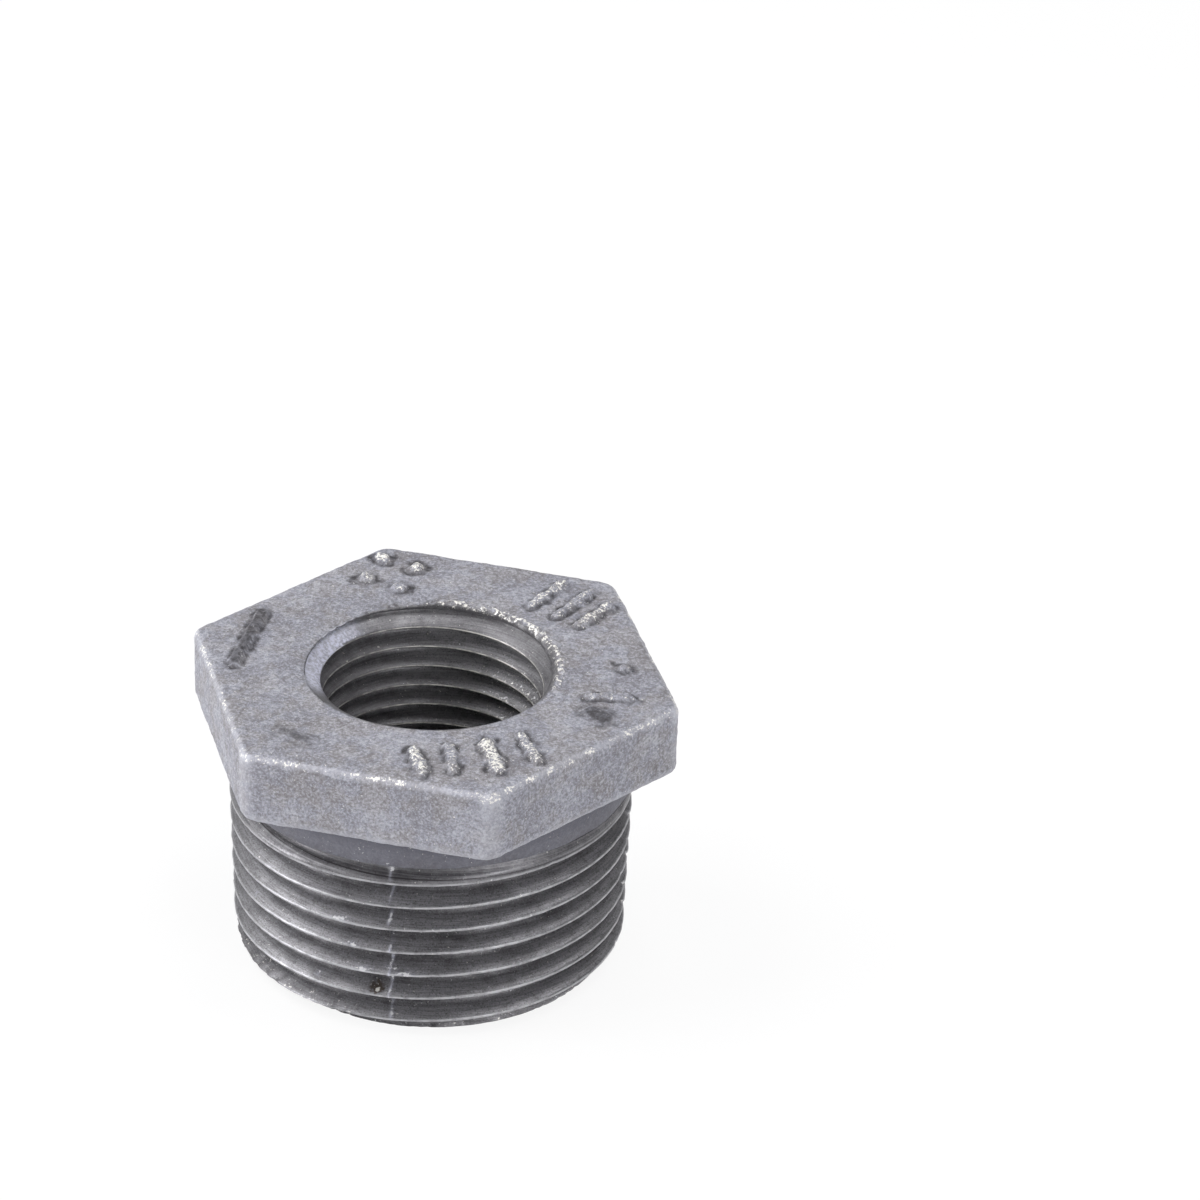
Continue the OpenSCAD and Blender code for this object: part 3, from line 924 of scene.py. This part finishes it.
class BUSHING_OT_body(bpy.types.Operator):
    """Makes the bushing's skin, with its cast head and neck, its threads and its wear"""

    bl_idname = "bushing.body"
    bl_label = "Bushing"

    def execute(self, context):
        scene = context.scene
        skin = make_skin(scene.bushing_head, scene.bushing_threads)
        points, crest, deep, kind, triangles, materials = skin.arrays()
        at = Place(points, triangles, kind, scene.bushing_head)
        points, looks = self.age(scene, at, crest, deep)
        piece = make_mesh("hexagon_bushing", points, triangles, materials,
                          {"crest": crest, "deep": deep, **looks})
        finish = scene.bushing_finish
        spots = [(*PIT_SPOT, finish.rust), (*PIT_FLECK, finish.bright), (*SEAM_BEAD, finish.flake)]
        for material in (
            cast_material(finish),
            # Outside: painted shade darkens its groove bottoms (dark)
            cut_material("outside_thread", finish, finish.rubbed, spots,
                         dark=0.5, lip=0.0, metallic=0.75, rough=0.44, edge=0.5),
            # A lit copy of the same cut iron: less metallic and without dark groove bottoms, so the
            # shaded bore renders lighter; the flank beside each crest gets painted shade (lip)
            cut_material("inside_thread", finish, finish.bright,
                         dark=0.0, lip=0.45, metallic=0.32, rough=0.4, edge=0.65),
        ):
            piece.data.materials.append(material)
        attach(piece, "root")
        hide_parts("bushing")
        return {"FINISHED"}

    def age(self, scene, at, crest, deep):
        """Moves the points for the uneven skin, the marks and the flaws. Returns them, and attributes
        that say how worn, flaked and pale each is, how dark from soiling or painted shade, and how far
        banded: painted shade on the neck, tool lines on the cut metal."""
        wear = scene.bushing_wear
        marks, raised = mark_flaws(at, wear)
        mouth, lift = mouth_flaws(at, wear)
        shank, out = shank_flaws(at, crest, scene.bushing_threads, wear)
        uneven = waves(at.points, "swell") + 0.9 * waves(at.points, "skin")
        wander = at.cast * scene.bushing_head.wave * uneven
        radial = np.column_stack([np.cos(at.azimuth), np.sin(at.azimuth), 0 * at.z])
        points = at.points + at.normals * wander[:, None] + radial * out[:, None]
        points[:, 2] += raised + lift

        bore = bore_flaws(at, deep, mouth["crescent"])
        flaws = {**marks, **mouth, **shank, **bore, **head_flaws(at, points)}
        looks = {key: np.maximum.reduce([share * flaws[name] for name, share in shown.items()])
                 for key, shown in SHOWN.items()}
        looks["dirt"] = looks["dirt"] * (1 - CLEAN * np.clip(flaws["chip"] + flaws["seam"], 0, 1))
        return points, {key: np.clip(value, 0, 1) for key, value in looks.items()}


def lamp(name, place, target, size, power):
    """A square area lamp at place, turned to target."""
    data = bpy.data.lights.new(name, "AREA")
    data.size = size
    data.energy = power
    item = put(name, data)
    item.location = place
    item.rotation_euler = (Vector(place) - Vector(target)).to_track_quat("Z", "Y").to_euler()


def towards(azimuth, elevation, distance):
    """The point at that direction and distance from the origin."""
    flat = math.cos(elevation) * distance
    return Vector((flat * math.cos(azimuth), flat * math.sin(azimuth), math.sin(elevation) * distance))


FLOOR_REACH = 3.0  # from the floor's middle to its sides, in metres
FLOOR_GLOW = 0.88  # how much of what is seen of the floor is plain white
FADE_HEIGHT = 0.34  # the direction's height where the surround has faded to its zenith
# The lamps: azimuth from the camera's, elevation, distance and size, in degrees and metres
LAMPS = {
    "key": (-101, 53, 0.6, 0.4),
    "side": (-80, 14, 0.5, 0.25),
    "fill": (95, 73, 0.4, 0.24),
    "front": (35, 23, 0.6, 0.3),
}


class BUSHING_OT_stage(bpy.types.Operator):
    """Makes the camera, the lamps, the surround and the pale floor"""

    bl_idname = "bushing.stage"
    bl_label = "Stage"

    def execute(self, context):
        stage = context.scene.bushing_stage
        self.camera(context, stage)
        self.lamps(stage)
        self.world(context, stage)
        self.floor(stage)
        context.scene.view_settings.view_transform = "Standard"
        return {"FINISHED"}

    def camera(self, context, stage):
        """Looks at the part's middle, and turns so that it shows at its pixel of the picture."""
        data = bpy.data.cameras.new("camera")
        data.lens = stage.lens
        data.sensor_width = 36
        middle = Vector((0, 0, TOP_Z / 2))
        place = middle + towards(stage.azimuth, stage.elevation, stage.distance)
        look = (place - middle).to_track_quat("Z", "Y").to_matrix()
        pixels = IMAGE * stage.lens / data.sensor_width
        seen = Vector((stage.middle_x - IMAGE / 2, IMAGE / 2 - stage.middle_y, -pixels)).normalized()
        shift = seen.rotation_difference(Vector((0, 0, -1))).to_matrix()
        turn = look @ Matrix.Rotation(stage.roll, 3, "Z") @ shift
        item = put("camera", data)
        item.matrix_world = Matrix.Translation(place) @ turn.to_4x4()
        context.scene.camera = item

    def lamps(self, stage):
        """Each lamp at its place round the camera, turned to the part's middle."""
        target = (0, 0, TOP_Z / 2)
        for name, (azimuth, elevation, distance, size) in LAMPS.items():
            place = towards(stage.azimuth + azimuth * DEG, elevation * DEG, distance)
            lamp(name, place, target, size, getattr(stage, name))

    def world(self, context, stage):
        """White to the camera. Metal sees it fade to dark overhead, and it lights the part evenly."""
        world = bpy.data.worlds.new("surround")
        context.scene.world = world
        n = Nodes(world, clear=True)
        seen, by_eye = n.seen_rays()
        direction = n.add("ShaderNodeTexCoord").outputs["Generated"]
        height = n.add("ShaderNodeSeparateXYZ", {0: direction}).outputs["Z"]
        fade = n.ramp(height, 0.0, FADE_HEIGHT, 1.0, stage.zenith)
        strength = n.between(by_eye, n.between(seen, stage.surround, fade), 1.0)
        back = n.add("ShaderNodeBackground", {"Color": (1, 1, 1, 1), "Strength": strength})
        n.add("ShaderNodeOutputWorld", {"Surface": back.outputs[0]})

    def floor(self, stage):
        """A wide pale plane. What the eye and metal see is mostly plain white, and the rest is a matt
        surface that keeps the shadow."""
        corners = np.array([(-1, -1, 0), (1, -1, 0), (1, 1, 0), (-1, 1, 0)]) * FLOOR_REACH
        mesh = bpy.data.meshes.new("floor")
        mesh.from_pydata(corners, [], [(0, 1, 2, 3)])
        item = put("floor", mesh)
        material = bpy.data.materials.new("floor")
        n = Nodes(material, clear=True)
        matt = n.add("ShaderNodeBsdfDiffuse", {"Color": (*stage.floor, 1)}).outputs[0]
        glow = n.add("ShaderNodeEmission", {"Strength": 1.0}).outputs[0]
        share = n.math("MULTIPLY", n.seen_rays()[0], FLOOR_GLOW)
        both = n.add("ShaderNodeMixShader", {0: share, 1: matt, 2: glow})
        n.add("ShaderNodeOutputMaterial", {"Surface": both.outputs[0]})
        mesh.materials.append(material)


class BUSHING_PT_panel(bpy.types.Panel):
    """Lists what the add-on makes."""

    bl_idname = "BUSHING_PT_panel"
    bl_label = "Hexagon bushing"
    bl_space_type = "VIEW_3D"
    bl_region_type = "UI"
    bl_category = "Bushing"

    def draw(self, context):
        for operator in OPERATORS:
            self.layout.operator(operator.bl_idname)
        for name in GROUPS:
            group = getattr(context.scene, name)
            box = self.layout.box()
            box.label(text=name)
            for key in group.bl_rna.properties.keys():
                if key not in ("rna_type", "name"):
                    box.prop(group, key)


GROUPS = {
    "bushing_head": BUSHING_PG_head,
    "bushing_threads": BUSHING_PG_threads,
    "bushing_wear": BUSHING_PG_wear,
    "bushing_finish": BUSHING_PG_finish,
    "bushing_stage": BUSHING_PG_stage,
}
OPERATORS = (BUSHING_OT_body, BUSHING_OT_stage)
CLASSES = (*GROUPS.values(), *OPERATORS, BUSHING_PT_panel)


def register():
    """Adds the classes and the settings to Blender."""
    for item in CLASSES:
        bpy.utils.register_class(item)
    for name, group in GROUPS.items():
        setattr(bpy.types.Scene, name, PointerProperty(type=group))


def unregister():
    """Takes them out again."""
    for name in GROUPS:
        delattr(bpy.types.Scene, name)
    for item in reversed(CLASSES):
        bpy.utils.unregister_class(item)


def main():
    """Makes everything."""
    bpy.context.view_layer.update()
    register()
    for operator in OPERATORS:
        getattr(bpy.ops.bushing, operator.bl_idname.split(".")[1])()


if __name__ == "__main__":
    main()
